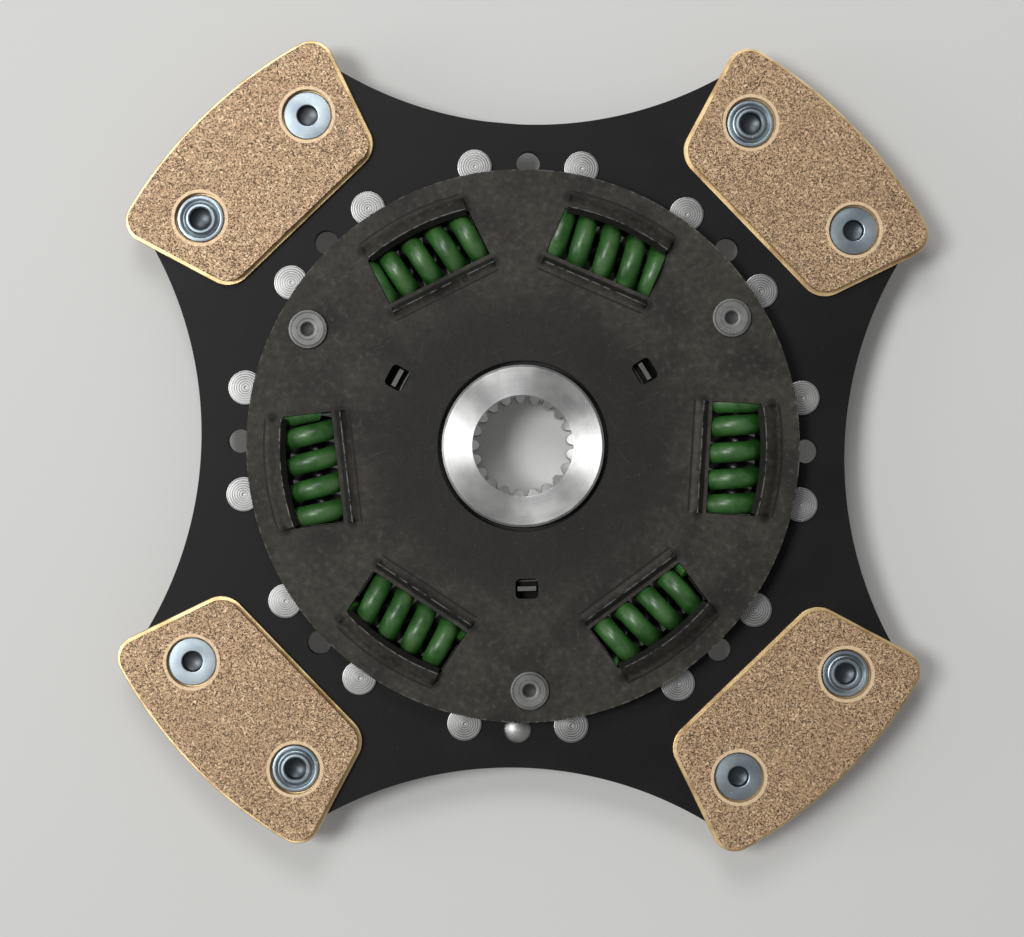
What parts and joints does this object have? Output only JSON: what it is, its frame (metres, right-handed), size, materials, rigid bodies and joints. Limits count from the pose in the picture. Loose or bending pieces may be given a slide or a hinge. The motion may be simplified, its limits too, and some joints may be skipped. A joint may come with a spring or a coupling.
{
  "type": "clutch disc",
  "caption": "Sprung clutch disc: splined hub, torsion damper with coil springs in lipped windows, thin spider and riveted sintered pads on both sides.",
  "frame": {"origin": "on the disc's axis, in the lower end face of the hub, which the disc stands on", "axes": "+Z along the hub's bore towards the cover plate; the pads lie half-way between X and Y"},
  "size_m": [0.2094, 0.2094, 0.0249],
  "materials": {
    "machined_steel": "turned",
    "bare_steel": "satin",
    "rivet_steel": "zinc plated",
    "phosphated_steel": "dark phosphated",
    "black_spring_steel": "black satin",
    "green_spring": "green painted",
    "sintered_facing": "sintered",
    "coppered_steel": "plated",
    "bush_polymer": "moulded",
    "washer_fibre": "moulded"
  },
  "bodies": {
    "hub": {"hub": "machined_steel"},
    "plates": {"backing_plate_bottom_1": "coppered_steel", "backing_plate_bottom_2": "coppered_steel", "backing_plate_bottom_3": "coppered_steel", "backing_plate_bottom_4": "coppered_steel", "backing_plate_top_1": "coppered_steel", "backing_plate_top_2": "coppered_steel", "backing_plate_top_3": "coppered_steel", "backing_plate_top_4": "coppered_steel", "balance_rivet": "rivet_steel", "centring_bush": "bush_polymer", "cover_plate": "phosphated_steel", "disc_spring": "bare_steel", "drive_plate": "phosphated_steel", "friction_pad_bottom_1": "sintered_facing", "friction_pad_bottom_2": "sintered_facing", "friction_pad_bottom_3": "sintered_facing", "friction_pad_bottom_4": "sintered_facing", "friction_pad_top_1": "sintered_facing", "friction_pad_top_2": "sintered_facing", "friction_pad_top_3": "sintered_facing", "friction_pad_top_4": "sintered_facing", "lower_friction_washer": "washer_fibre", "pad_rivets_head_down": "rivet_steel", "pad_rivets_head_up": "rivet_steel", "ring_rivets": "rivet_steel", "spider": "black_spring_steel", "stop_pin_1": "rivet_steel", "stop_pin_2": "rivet_steel", "stop_pin_3": "rivet_steel", "thrust_ring": "bare_steel", "upper_friction_washer": "washer_fibre"},
    "springs": {"damper_spring_1": "green_spring", "damper_spring_2": "green_spring", "damper_spring_3": "green_spring", "damper_spring_4": "green_spring", "damper_spring_5": "green_spring", "damper_spring_6": "green_spring"}
  },
  "joints": [
    {"name": "damper_twist", "type": "hinge", "parent": "hub", "child": "plates", "pos_m": [0, 0, 0], "axis": [0, 0, 1], "range_deg": [-5, 5], "stiffness_Nm_per_rad": 500},
    {"name": "spring_follow", "type": "hinge", "parent": "hub", "child": "springs", "pos_m": [0, 0, 0], "axis": [0, 0, 1], "range_deg": [-2.5, 2.5], "deforming": ["damper_spring_1", "damper_spring_2", "damper_spring_3", "damper_spring_4", "damper_spring_5", "damper_spring_6"]}
  ],
  "couplings": [
    {"joint": "spring_follow", "follows": "damper_twist", "ratio": 0.5}
  ]
}
